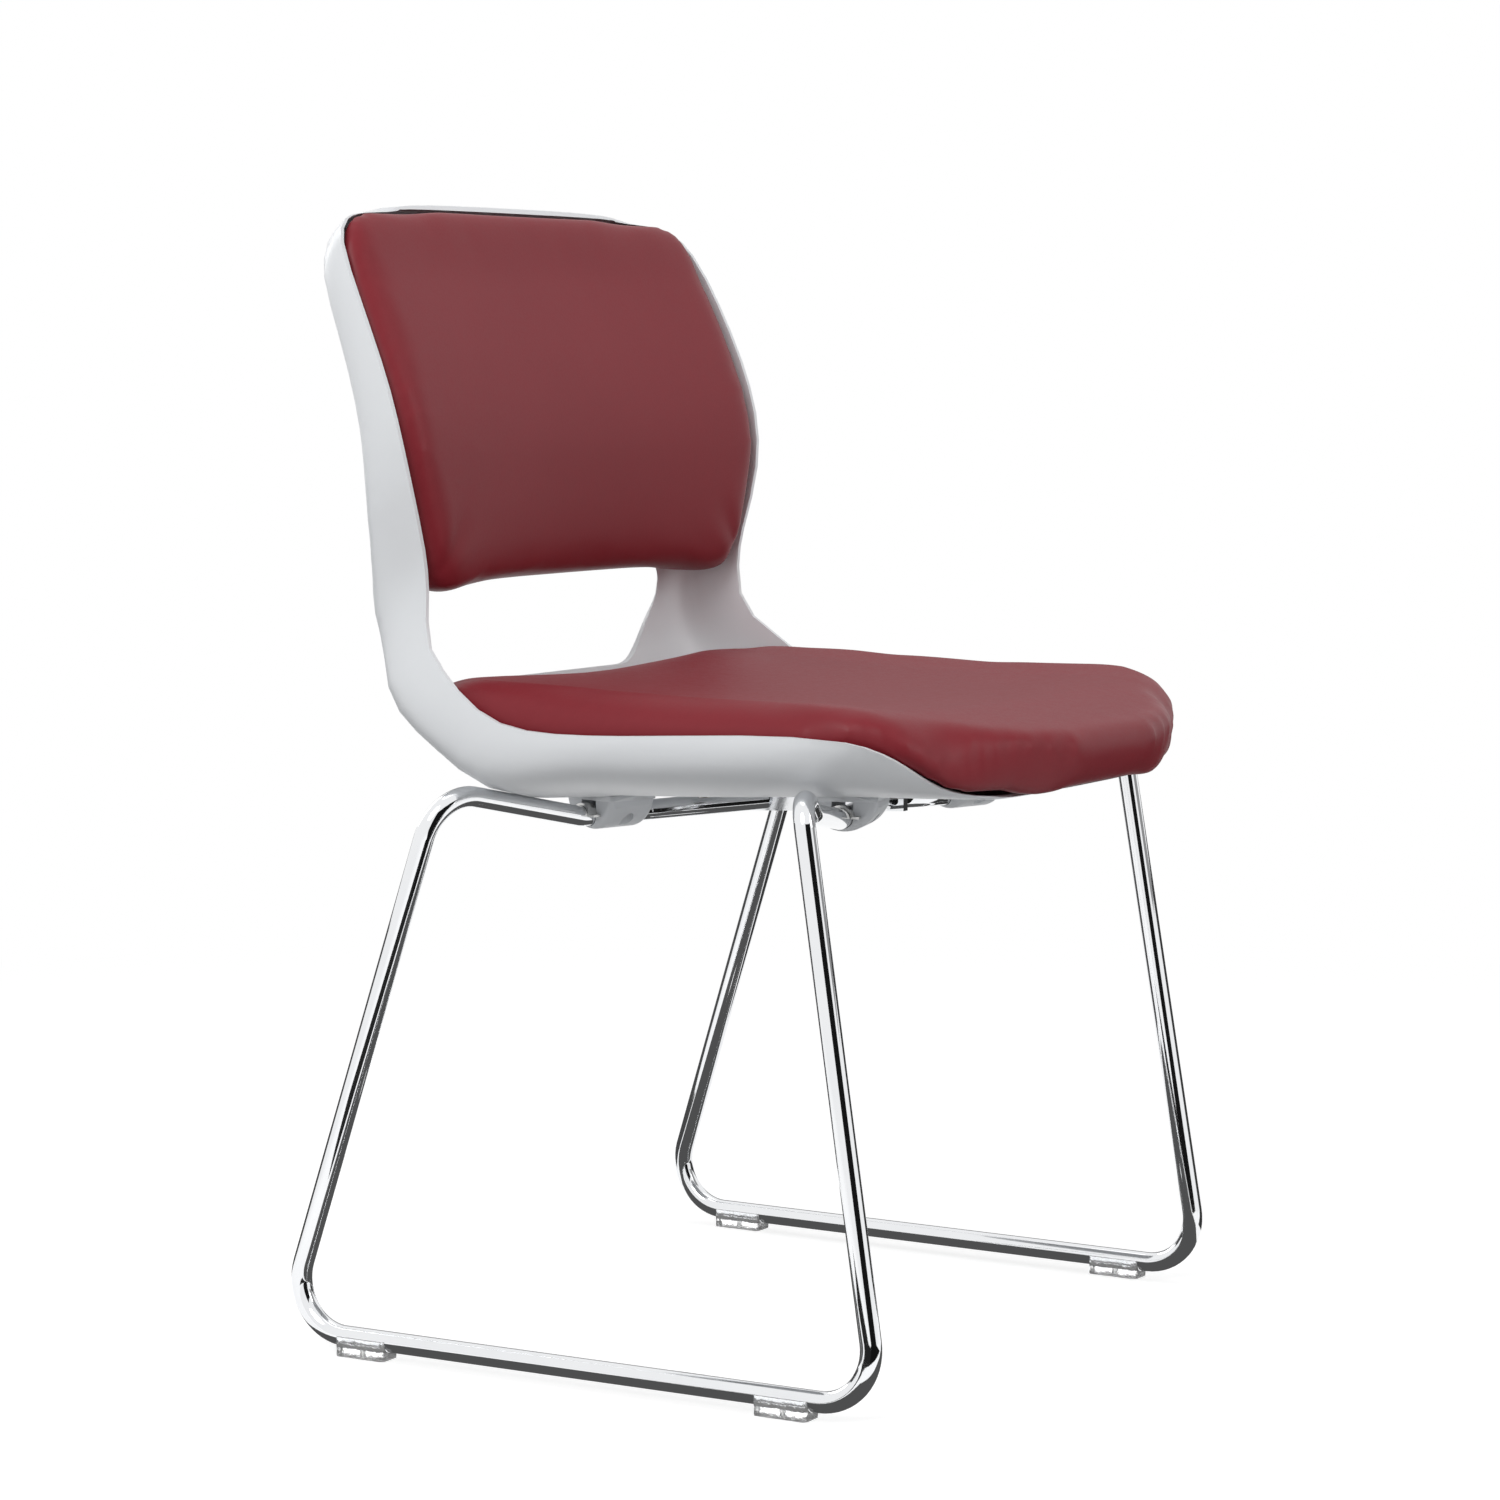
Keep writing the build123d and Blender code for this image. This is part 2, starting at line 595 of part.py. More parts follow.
def seat_board_body():
    """Flat board with rounded corners, parallel to its underside."""
    front = SEAT_FRONT_Y + BOARD_SETBACK
    rear = 120 - BOARD_INSET / 2
    half = SEAT_HALF - BOARD_INSET
    slab = yz_slab([
        (front, board_z(front)),
        (rear, board_z(rear)),
        (rear, board_z(rear) + SEAT_BOARD_THICK),
        (front, board_z(front) + SEAT_BOARD_THICK),
    ], half)
    slab = fillet(slab.edges().filter_by(lambda e: abs(e.length - SEAT_BOARD_THICK) < 0.01), 40)
    for x, y in pad_screw_places():
        slab -= column(x, y, BOARD_Z - 30, BOARD_Z + 40, TEE_BARREL_R + FIT)
    return slab


def staple_opening():
    """Bare middle of the board's underside, inside the stapled edge of the cover."""
    front = SEAT_FRONT_Y + BOARD_SETBACK + STAPLE_MARGIN
    rear = 120 - BOARD_INSET / 2 - STAPLE_MARGIN
    half = SEAT_HALF - BOARD_INSET - STAPLE_MARGIN
    return yz_slab([
        (front, board_z(front) - 8),
        (rear, board_z(rear) - 8),
        (rear, board_z(rear)),
        (front, board_z(front)),
    ], half)


def back_pad_stations(path):
    """Height, half width, front edge depth, rear depth."""
    top, waist, wide = BACK_TOP_Z, WAIST_Z, BACK_HALF - RIM_WALL - PAD_GAP
    narrow = WAIST_HALF - RIM_WALL - PAD_GAP
    rows = [
        (waist - 2, narrow - 24, 8, 12),
        (waist + 2, narrow - 13, 2.5, 4),
        (waist + 9, narrow - 3, 0, 0),
        (waist + 55, wide - 15.5, 0, 0),
        (top - 166.5, wide - 3.5, 0, 0),
        (top - 127, wide - 0.5, 0, 0),
        (top - 84, wide - 2, 0, 0),
        (top - 47, wide - 6, 0, 3),
        (top - 27, wide - 14, 0, 7),
        (top - 16, wide - 26, 0, 11),
        (top - 10.5, wide - 42, 1, 12),
        (top - 7.5, wide - 64, 2.5, 11),
        (top - 6, wide - 100, 4.5, 10),
    ]
    result = []
    for z, half, front_in, rear_in in rows:
        panel, lean = path.back_mid(min(z, top - 30))
        rear = panel - (SHELL_WALL + PANEL_GAP) / math.cos(lean)
        front = rim_y_at(path, z) - BACK_PROUD
        result.append((z, half, front + front_in, rear - rear_in))
    return refine(result)


def rim_y_at(path, z):
    """Depth of the back rim at a height."""
    low, high = path.knots[12] / path.knots[-1], 1.0
    for _ in range(40):
        share = (low + high) / 2
        if path.section(share)[1][1] < z:
            low = share
        else:
            high = share
    return path.section(low)[1][0]


def back_pad_body(path, inset):
    """Back pad: hollow across, rounded at its edges, drawn in by the inset."""
    rows = back_pad_stations(path)
    wires = []
    for index, (z, half, front, rear) in enumerate(rows):
        shift = inset if index == 0 else -inset if index == len(rows) - 1 else 0
        half, front, rear = half - inset, front + inset, rear - inset
        depth = rear - front
        a = (half * BACK_SEAT_SHARE, rear)
        b = (half * 0.895, rear - 0.17 * depth)
        c = (half, rear - 0.52 * depth)
        d = (half - 0.23 * BACK_SHOULDER, rear - 0.8 * depth)
        e = (half - BACK_SHOULDER, front)
        hollow = BACK_HOLLOW * min(1.0, depth / 40)
        outline = Line((-a[0], a[1]), a)
        outline += ThreePointArc(a, b, c)
        outline += ThreePointArc(c, d, e)
        outline += ThreePointArc(e, (0, front + hollow), (-e[0], e[1]))
        outline += ThreePointArc((-e[0], e[1]), (-d[0], d[1]), (-c[0], c[1]))
        outline += ThreePointArc((-c[0], c[1]), (-b[0], b[1]), (-a[0], a[1]))
        wires.append((Plane.XY.offset(z + shift) * make_face(outline)).face().outer_wire())
    return Solid.make_loft(wires, ruled=True)


def back_slab(path, inset, rear_in, front_in):
    """Curved plate parallel to the back pad's rear face."""
    wires = []
    for z, half, front, rear in back_pad_stations(path)[2 * SUB_STATIONS:-6 * SUB_STATIONS]:
        reach = half * BACK_SEAT_SHARE - inset
        near, far = rear - front_in, rear - rear_in
        corners = [(-reach, far), (reach, far), (reach, near), (-reach, near)]
        face = Plane.XY.offset(z) * make_face(Polyline(*corners, close=True))
        wires.append(face.face().outer_wire())
    return Solid.make_loft(wires, ruled=True)


def back_pegs(path):
    """Round pegs from the back board into the shell's bosses."""
    result = []
    for x, z in peg_places():
        start = -(COVER + FIT + BACK_BOARD_THICK - 1)
        length = PANEL_GAP - start - 1
        peg = Pos(0, 0, start + length / 2) * Cylinder(PEG_R, length)
        result.append(peg_frame(path, x, z) * peg)
    return result


def build_glide(side, y):
    """Clear cradle clipped round the lower half of the runner."""
    top = RUNNER_Z + GLIDE_TOP
    body = Pos(0, 0, top / 2) * Box(GLIDE_WIDTH, GLIDE_LENGTH, top)
    body = fillet(body.edges().filter_by(Axis.Z), 4)
    channel_r = TUBE_R + TUBE_CLEARANCE
    cut = Pos(0, 0, RUNNER_Z) * Rot(90, 0, 0) * Cylinder(channel_r, 2 * GLIDE_LENGTH)
    cut += Pos(0, 0, RUNNER_Z + 10) * Box(2 * channel_r, 2 * GLIDE_LENGTH, 20)
    cut += column(0, 0, GLIDE_SOLE, RUNNER_Z, PIN_R + FIT)
    return runner_frame(side, y) * (body - cut)


def glide_pins():
    result = []
    for side in (-1, 1):
        for y in (-GLIDE_Y, GLIDE_Y):
            result.append(runner_frame(side, y) * column(0, 0, GLIDE_SOLE, PIN_REACH - 1, PIN_R))
    return result


def build_all():
    """All nodes by name."""
    path = ShellPath()
    nodes = {"seat_back_shell": build_shell(path)}

    right = build_side_frame()
    nodes["side_frame_right"] = right
    nodes["side_frame_left"] = mirror(right, about=Plane.YZ)
    nodes["frame_spine"] = build_spine()
    for name, side, y in saddle_places():
        nodes["saddle_" + name] = build_saddle(side, y)
    nodes["saddle_screws"] = Compound(saddle_screws())
    nodes["tube_clips"] = Compound(tube_clips())

    board = seat_board_body()
    nuts = tee_nuts()
    screws = pad_screws()
    nodes["seat_pad_cover"] = seat_pad_body(0) - seat_pad_body(COVER) - staple_opening()
    nodes["seat_pad_board"] = board
    nodes["seat_pad_foam"] = seat_pad_body(COVER + 2 * FIT) - seat_board_room() - nut_room()
    nodes["seat_pad_tee_nuts"] = Compound(nuts)
    nodes["seat_pad_screws"] = Compound(screws)

    rear_in = COVER + FIT
    front_in = rear_in + BACK_BOARD_THICK
    back_board = back_slab(path, FIT, rear_in, front_in)
    opening = back_slab(path, STAPLE_MARGIN, -3, rear_in)
    room = back_slab(path, 0, 0, front_in)
    holes = []
    for x, z in peg_places():
        holes.append(peg_frame(path, x, z) * Cylinder(PEG_R + FIT, 2 * front_in - 1))
    nodes["back_pad_cover"] = back_pad_body(path, 0) - back_pad_body(path, COVER) - opening
    nodes["back_pad_board"] = back_board - holes
    nodes["back_pad_foam"] = back_pad_body(path, COVER + 2 * FIT) - room - holes
    nodes["back_pad_pegs"] = Compound(back_pegs(path))

    for name, side, y in (("rear_right", -1, GLIDE_Y), ("rear_left", 1, GLIDE_Y),
                          ("front_right", -1, -GLIDE_Y), ("front_left", 1, -GLIDE_Y)):
        nodes["glide_" + name] = build_glide(side, y)
    nodes["glide_pins"] = Compound(glide_pins())
    return nodes


def seat_board_room():
    """Space for the board in the foam, open below."""
    front = SEAT_FRONT_Y + BOARD_SETBACK - FIT
    rear = 120 - BOARD_INSET / 2 + FIT
    return yz_slab([
        (front, board_z(front) - 8),
        (rear, board_z(rear) - 8),
        (rear, board_z(rear) + SEAT_BOARD_THICK),
        (front, board_z(front) + SEAT_BOARD_THICK),
    ], SEAT_HALF - BOARD_INSET + FIT)


def nut_room():
    """Space for the tee nut flanges in the foam."""
    posts = []
    for x, y in pad_screw_places():
        top = board_z(y) + SEAT_BOARD_THICK + BOARD_TILT * TEE_FLANGE_R + TEE_FLANGE_H + FIT
        posts.append(column(x, y, board_z(y), top, TEE_FLANGE_R + FIT))
    return posts


def main():
    os.makedirs("parts", exist_ok=True)
    low, high = [9999.0] * 3, [-9999.0] * 3
    for name, shape in build_all().items():
        placed = Pos(0, ORIGIN_Y, 0) * shape
        export_step(placed, os.path.join("parts", name + ".step"))
        box = placed.bounding_box()
        low = [min(a, b) for a, b in zip(low, box.min)]
        high = [max(a, b) for a, b in zip(high, box.max)]
        print(f"{name:20s} solids {len(placed.solids()):2d} volume {placed.volume / 1000:8.1f} cm3",
              "ok" if placed.is_valid else "NOT VALID")
    print("low", [round(v, 2) for v in low], "high", [round(v, 2) for v in high])


main()
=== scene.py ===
# %% [markdown]
# # A visitor chair on a chromed sled base
# The chair has a white moulded shell, two leather pads that sit in it, and a bent tube base.
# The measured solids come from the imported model, so this lesson only dresses them:
# it gives the metal and plastic pieces their finish and makes the pads soft.
# Lengths are in metres.

# %% Load the measured model
import math

import bmesh
import bpy
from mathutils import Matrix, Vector


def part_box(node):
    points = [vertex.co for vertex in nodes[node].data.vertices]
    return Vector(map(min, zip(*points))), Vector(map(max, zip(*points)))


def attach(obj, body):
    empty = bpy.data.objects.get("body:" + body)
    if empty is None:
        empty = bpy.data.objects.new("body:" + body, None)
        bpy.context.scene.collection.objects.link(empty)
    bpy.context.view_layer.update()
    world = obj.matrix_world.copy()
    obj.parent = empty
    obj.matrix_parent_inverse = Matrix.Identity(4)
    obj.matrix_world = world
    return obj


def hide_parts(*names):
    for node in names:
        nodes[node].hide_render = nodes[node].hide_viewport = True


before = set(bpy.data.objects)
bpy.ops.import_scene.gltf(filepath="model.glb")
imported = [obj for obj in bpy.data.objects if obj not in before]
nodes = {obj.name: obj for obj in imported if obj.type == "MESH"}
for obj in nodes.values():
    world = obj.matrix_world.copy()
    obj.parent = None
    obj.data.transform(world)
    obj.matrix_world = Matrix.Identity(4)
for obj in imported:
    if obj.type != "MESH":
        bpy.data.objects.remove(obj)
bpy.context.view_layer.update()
scene = bpy.context.scene

# %% [markdown]
# ## The camera
# The picture was taken with a long lens from the sitter's front right, below the back's top.
# The place, turn and focal length were fitted to the corners of the runners and the back,
# so a camera set by numbers lands where the photographer stood.

# %% Camera
CAMERA_PLACE = (-2.48537, -1.44531, 0.66325)
CAMERA_TURN = math.radians(-59.3195)
CAMERA_TILT = math.radians(5.3406)
SENSOR_WIDTH = 36.0
FOCAL_LENGTH = 101.166

lens = bpy.data.cameras.new("camera")
lens.sensor_width = SENSOR_WIDTH
lens.lens = FOCAL_LENGTH
camera = bpy.data.objects.new("camera", lens)
scene.collection.objects.link(camera)
toward_camera = Vector((
    math.sin(CAMERA_TURN) * math.cos(CAMERA_TILT),
    -math.cos(CAMERA_TURN) * math.cos(CAMERA_TILT),
    math.sin(CAMERA_TILT),
))
camera.location = CAMERA_PLACE
camera.rotation_mode = "QUATERNION"
camera.rotation_quaternion = (-toward_camera).to_track_quat("-Z", "Y")
scene.camera = camera
scene.view_settings.view_transform = "Standard"
print("camera looks along", [round(v, 3) for v in -toward_camera])

# %% [markdown]
# ## A way to write finishes
# A finish is a small node tree. Wrapping a socket in a class lets the sums between textures
# read as ordinary Python, and one method makes every other node, so each finish below
# is a few lines that say what it looks like.

# %% Node helper
class Signal:
    """A node's output that can take part in Python sums."""

    def __init__(self, tree, socket):
        self.tree = tree
        self.socket = socket

    def sum(self, operation, *values):
        return self.tree.node("ShaderNodeMath", {"operation": operation}, dict(enumerate(values)))

    def __add__(self, other):
        return self.sum("ADD", self, other)

    def __mul__(self, other):
        return self.sum("MULTIPLY", self, other)

    __radd__ = __add__


class NodeTree:
    """Adds nodes to one tree: settings first, then values or links of the sockets."""

    def __init__(self, tree):
        self.tree = tree
        self.tree.nodes.clear()

    def node(self, kind, settings=None, values=None, out=0):
        made = self.tree.nodes.new(kind)
        for key, value in (settings or {}).items():
            setattr(made, key, value)
        for key, value in (values or {}).items():
            if isinstance(value, Signal):
                self.tree.links.new(value.socket, made.inputs[key])
            else:
                made.inputs[key].default_value = value
        return Signal(self, made.outputs[out]) if len(made.outputs) else None

    def between(self, share, low, high):
        """A colour between two colours."""
        return self.node("ShaderNodeMix", {"data_type": "RGBA"}, {0: share, 6: low, 7: high}, 2)

    def noise(self, place, scale, detail=2.0):
        values = {"Vector": place, "Scale": scale, "Detail": detail}
        return self.node("ShaderNodeTexNoise", None, values)

    def length(self, place):
        """How far a place is from zero."""
        return self.node("ShaderNodeVectorMath", {"operation": "LENGTH"}, {0: place}, "Value")

    def fade(self, value, start, end):
        """0 at start and 1 at end, smooth between."""
        return self.node("ShaderNodeMapRange", {"interpolation_type": "SMOOTHSTEP"},
                         {"Value": value, "From Min": start, "From Max": end})

    def seen(self):
        """1 for camera, mirror and glass rays, 0 for the rays that light the chair."""
        rays = self.node("ShaderNodeLightPath", out="Is Camera Ray")
        for name in ("Is Glossy Ray", "Is Transmission Ray"):
            rays = rays + self.node("ShaderNodeLightPath", out=name)
        return rays


class Finish(NodeTree):
    """A material, with places on its object for textures."""

    def __init__(self, name):
        self.material = bpy.data.materials.new(name)
        self.material.use_nodes = True
        super().__init__(self.material.node_tree)
        self.place = self.node("ShaderNodeTexCoord", out="Object")

    def output(self, shader):
        self.node("ShaderNodeOutputMaterial", None, {"Surface": shader})
        return self.material

    def surface(self, values, height, bump, distance):
        """A principled surface with a bump."""
        settings = {"Strength": bump, "Distance": distance, "Height": height}
        normal = self.node("ShaderNodeBump", None, settings)
        shader = self.node("ShaderNodeBsdfPrincipled", None, {**values, "Normal": normal})
        return self.output(shader)


print("finish helper ready")

# %% Object helper
def object_from(bm, name):
    """Makes an object of a bmesh and frees the bmesh."""
    mesh = bpy.data.meshes.new(name)
    bm.to_mesh(mesh)
    bm.free()
    made = bpy.data.objects.new(name, mesh)
    scene.collection.objects.link(made)
    return made


print("object helper ready")

# %% [markdown]
# ## The studio
# The chair stands on a white sweep under large soft lamps. The background is white because
# the floor and the world say so to camera, mirror and glass rays only; the light that falls
# on the chair stays at a plain level. Dark cards round the chair, seen only by mirror rays,
# draw the dark lines that run along each chromed tube.

# %% Floor
FLOOR_HALF = 14.0
FLOOR_SINK = 0.0004
FLOOR_GREY = (0.5, 0.5, 0.5, 1)
FLOOR_LIFT = 0.7
FLOOR_FADE = (0.55, 1.9)


def build_floor():
    bm = bmesh.new()
    bmesh.ops.create_grid(bm, x_segments=1, y_segments=1, size=FLOOR_HALF)
    bmesh.ops.translate(bm, verts=bm.verts, vec=(0, 0, -FLOOR_SINK))
    made = object_from(bm, "floor")
    return made


sweep = Finish("studio_floor")
rays = sweep.seen()
away = sweep.fade(sweep.length(sweep.place), *FLOOR_FADE)
glow = sweep.node("ShaderNodeEmission", None, {"Strength": rays * FLOOR_LIFT})
paint = sweep.node("ShaderNodeBsdfDiffuse", None, {"Color": FLOOR_GREY})
near = sweep.node("ShaderNodeAddShader", None, {0: paint, 1: glow})
far = sweep.node("ShaderNodeEmission", None, {"Strength": 1.0})
whole = sweep.node("ShaderNodeMixShader", None, {0: rays * away, 1: near, 2: far})
floor = build_floor()
floor.data.materials.append(sweep.output(whole))
print("floor:", floor.name)

# %% World
WHITE = (1, 1, 1, 1)
PLAIN_LIGHT = 0.62
ZENITH_LIGHT = 0.5 * PLAIN_LIGHT
DIM_RANGE = {"From Min": 0.1, "From Max": 0.9, "To Min": PLAIN_LIGHT, "To Max": ZENITH_LIGHT}

world = bpy.data.worlds.new("studio")
world.use_nodes = True
scene.world = world
sky = NodeTree(world.node_tree)
way = sky.node("ShaderNodeTexCoord", out="Generated")
height = sky.node("ShaderNodeSeparateXYZ", None, {0: way}, "Z")
dim = sky.node("ShaderNodeMapRange", None, {"Value": height, **DIM_RANGE})
plain = sky.node("ShaderNodeBackground", None, {"Color": WHITE, "Strength": dim})
white = sky.node("ShaderNodeBackground", None, {"Color": WHITE, "Strength": 1.0})
light = sky.node("ShaderNodeMixShader", None, {0: sky.seen(), 1: plain, 2: white})
sky.node("ShaderNodeOutputWorld", None, {"Surface": light})
print("plain light", PLAIN_LIGHT)

# %% Dark cards
CARD_STEPS = 16
FULL_TURN = 360
LYING = 0.001
FLAT = 0.002


def add_card(name, turns, near, far, low, high, tone):
    """A card between two turns from the camera's side: it lies from near to far, then stands."""
    start, stop = (CAMERA_TURN + math.radians(turn) for turn in turns)
    bm = bmesh.new()
    corners = [(near, low), (far, low), (far, high)]
    points = [bm.verts.new((r * math.sin(start), -r * math.cos(start), z)) for r, z in corners]
    edges = [bm.edges.new(pair) for pair in zip(points, points[1:])]
    bmesh.ops.spin(bm, geom=points + edges, cent=(0, 0, 0), axis=(0, 0, 1), angle=stop - start,
                   steps=CARD_STEPS, use_merge=turns[1] - turns[0] == FULL_TURN)
    made = object_from(bm, name)
    made.visible_camera = False
    made.visible_diffuse = False
    made.visible_shadow = False
    made.visible_transmission = False
    f = Finish(name)
    grey = f.node("ShaderNodeEmission", None, {"Color": (tone, tone, tone, 1), "Strength": 1.0})
    made.data.materials.append(f.output(grey))
    return made


cards = [
    add_card("line_card", (4, 50), 0.42, 1.6, LYING, 1.0, 0.008),
    add_card("edge_card_right", (98, 150), 0.42, 1.6, LYING, 0.36, 0.04),
    add_card("edge_card_left", (-150, -104), 0.42, 1.6, LYING, 0.36, 0.07),
    add_card("near_card", (-42, 4), 0.42, 0.8, LYING, FLAT, 0.02),
    # floor_card, a dark ring on the floor under the chair, is painted shade that only the chrome
    # mirrors.
    add_card("floor_card", (0, FULL_TURN), 0.02, 0.36, LYING, FLAT, 0.09),
    # side_card and rear_card stand higher: they darken parts of the leather's sheen on the back
    # pad and the seat, a painted reflection.
    add_card("side_card", (72, 108), 1.59, 1.6, 0.36, 2.2, 0.3),
    add_card("rear_card", (160, 212), 1.89, 1.9, 0.44, 1.1, 0.22),
]
print("cards:", [made.name for made in cards])

# %% Lamps
MIDDLE = Vector((0.0, 0.0, 0.45))


def add_lamp(name, place, size, watts):
    """A round soft lamp that looks at the middle of the chair."""
    lamp = bpy.data.lights.new(name, "AREA")
    lamp.shape = "DISK"
    lamp.size = size
    lamp.energy = watts
    made = bpy.data.objects.new(name, lamp)
    made.location = place
    made.rotation_mode = "QUATERNION"
    made.rotation_quaternion = (MIDDLE - Vector(place)).to_track_quat("-Z", "Y")
    scene.collection.objects.link(made)
    return made


lamps = [
    add_lamp("key", (-2.6, -0.3, 2.3), 1.8, 44),
    add_lamp("front", (0.9, -3.0, 1.9), 1.6, 22),
    add_lamp("top", (0.3, 0.4, 3.2), 2.2, 8),
    add_lamp("rear", (0.8, 3.0, 1.7), 1.8, 16),
]
print("lamps:", [lamp.name for lamp in lamps])

# %% [markdown]
# ## Finishes
# Each finish has the detail the real material shows at its own scale: a fine pebble grain on
# the leather, an almost invisible mould texture on the shell, and polish marks on the chrome.

# %% Leather
LEATHER_DARK = (0.195, 0.013, 0.021, 1)
LEATHER_LIGHT = (0.245, 0.022, 0.031, 1)
LEATHER_SHINE = 0.25
CLOUD_SCALE, MOTTLE_SCALE = 7.0, 160.0
GRAIN_SCALE, PORE_SCALE = 640.0, 2100.0
LINE_SCALE = (150.0, 13.0, 13.0)
LINES_PLACE = {"Location": (0.0, 0.5, 0.0), "Scale": (6.5, 6.5, 0.0)}
LINES_FADE = (1.0, 0.3)


def make_leather(name, wrinkles):
    """Wrinkles is the depth of the fine pulled lines in the middle of the seat."""
    f = Finish(name)
    cloud = f.noise(f.place, CLOUD_SCALE, 3.0)
    mottle = f.noise(f.place, MOTTLE_SCALE)
    grain = f.node("ShaderNodeTexVoronoi", {"feature": "SMOOTH_F1"},
                   {"Vector": f.place, "Scale": GRAIN_SCALE, "Smoothness": 0.6})
    pores = f.noise(f.place, PORE_SCALE)
    colour = f.between(cloud * 0.6 + mottle * 0.4, LEATHER_DARK, LEATHER_LIGHT)
    rough = 0.38 + mottle * 0.08 + grain * 0.06
    height = grain * 0.5 + pores * 0.2
    if wrinkles:
        long = f.node("ShaderNodeMapping", None, {"Vector": f.place, "Scale": LINE_SCALE})
        lines = f.noise(long, 1.0, 3.0)
        centred = f.node("ShaderNodeMapping", None, {"Vector": f.place, **LINES_PLACE})
        height = height + lines * f.fade(f.length(centred), *LINES_FADE) * wrinkles
    values = {"Base Color": colour, "Roughness": rough, "Specular IOR Level": LEATHER_SHINE}
    return f.surface(values, height, bump=0.14, distance=0.0004)


leather = make_leather("burgundy_leather", 0)
seat_leather = make_leather("burgundy_seat_leather", 2.0)
print("finishes:", leather.name, seat_leather.name)

# %% Moulded plastic
def make_moulding(name, low, high, rough):
    f = Finish(name)
    cloud = f.noise(f.place, 12.0)
    mould = f.noise(f.place, 1500.0)
    values = {"Base Color": f.between(cloud, low, high), "Roughness": rough + mould * 0.08}
    return f.surface(values, mould, bump=0.05, distance=0.0002)


shell_white = make_moulding("white_moulding", (0.80, 0.82, 0.845, 1), (0.84, 0.86, 0.88, 1), 0.34)
saddle_grey = make_moulding("saddle_moulding", (0.72, 0.74, 0.77, 1), (0.77, 0.79, 0.81, 1), 0.38)
peg_black = make_moulding("peg_moulding", (0.02, 0.02, 0.022, 1), (0.04, 0.04, 0.042, 1), 0.45)
print("finishes:", shell_white.name, saddle_grey.name, peg_black.name)

# %% Metal
def make_metal(name, low, high, rough, bump):
    f = Finish(name)
    cloud = f.noise(f.place, 25.0, 3.0)
    marks = f.noise(f.place, 900.0)
    values = {"Base Color": f.between(cloud, low, high), "Metallic": 1.0,
              "Roughness": rough + marks * 0.05}
    return f.surface(values, marks, bump, distance=0.0001)


chrome = make_metal("polished_chrome", (0.80, 0.81, 0.83, 1), (0.88, 0.89, 0.90, 1), 0.03, 0.01)
zinc = make_metal("zinc_plate", (0.55, 0.55, 0.54, 1), (0.66, 0.66, 0.65, 1), 0.24, 0.08)
print("finishes:", chrome.name, zinc.name)

# %% Clear plastic
def make_clear():
    f = Finish("clear_moulding")
    flow = f.noise(f.place, 180.0, 3.0)
    colour = f.between(flow, (0.90, 0.91, 0.92, 1), (0.98, 0.98, 0.98, 1))
    values = {"Base Color": colour, "Roughness": 0.06 + flow * 0.12, "IOR": 1.49,
              "Transmission Weight": 0.9}
    return f.surface(values, flow, bump=0.5, distance=0.002)


clear = make_clear()
print("finish:", clear.name)

# %% Plywood
def make_plywood():
    f = Finish("raw_plywood")
    stretched = f.node("ShaderNodeMapping", None, {"Vector": f.place, "Scale": (3.0, 40.0, 40.0)})
    fibre = f.noise(stretched, 9.0, 4.0)
    colour = f.between(fibre, (0.42, 0.27, 0.14, 1), (0.62, 0.44, 0.26, 1))
    values = {"Base Color": colour, "Roughness": 0.6 + fibre * 0.15}
    return f.surface(values, fibre, bump=0.2, distance=0.0003)


plywood = make_plywood()
print("finish:", plywood.name)

# %% [markdown]
# ## Hard pieces
# The facets of the shell's and the tubes' solids would show in the gloss. A merged copy of
# each solid, shaded smooth up to a crisp angle, stands for it.

# %% Copies of solids
MERGE_DISTANCE = 0.00002


def merged_copy(node, name):
    bm = bmesh.new()
    bm.from_mesh(nodes[node].data)
    bmesh.ops.remove_doubles(bm, verts=bm.verts, dist=MERGE_DISTANCE)
    return object_from(bm, name)


def shade(piece, crisp):
    piece.data.shade_smooth()
    piece.data.set_sharp_from_angle(angle=math.radians(crisp))


def stand_for(piece, material, slot, *replaced):
    piece.data.materials.clear()
    piece.data.materials.append(material)
    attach(piece, "root")
    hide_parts(*replaced)


print("copies merge points closer than", MERGE_DISTANCE)

# %% [markdown]
# A smooth step from 0 to 1 is the tool for every change of shape below. A change has a
# size, and spans across x, along y and up z in which it comes and goes.

# %% Smooth steps
def ease(value, low, high):
    """0 below low, 1 above high, smooth between."""
    share = min(1.0, max(0.0, (value - low) / (high - low)))
    return share * share * (3 - 2 * share)


def hump(value, low, full, fall, high):
    """0 below low and above high, 1 from full to fall, smooth between."""
    return ease(value, low, full) * (1 - ease(value, fall, high))


print("half way up a step:", ease(0.5, 0, 1))

# %% [markdown]
# The uprights beside the gap taper towards the back pad, so the copy's gap opens wider at
# its top, and the bar below the gap sinks behind the seat pad.

# %% Shell and tubes
SHELL_CRISP, TUBE_CRISP = 28, 40
WINDOW_HALF = 0.147
WINDOW_FLARE = 0.036
FLARE_ACROSS = (0.09, WINDOW_HALF, WINDOW_HALF, 0.222)
FLARE_ALONG = (0.19, 0.225)
FLARE_UP = (0.452, 0.497, 0.512, 0.56)
BAR_DROP = 0.007
BAR_ACROSS = (0.12, 0.18)
BAR_ALONG = (0.18, 0.2)
BAR_UP = (0.425, 0.44, 0.455, 0.475)

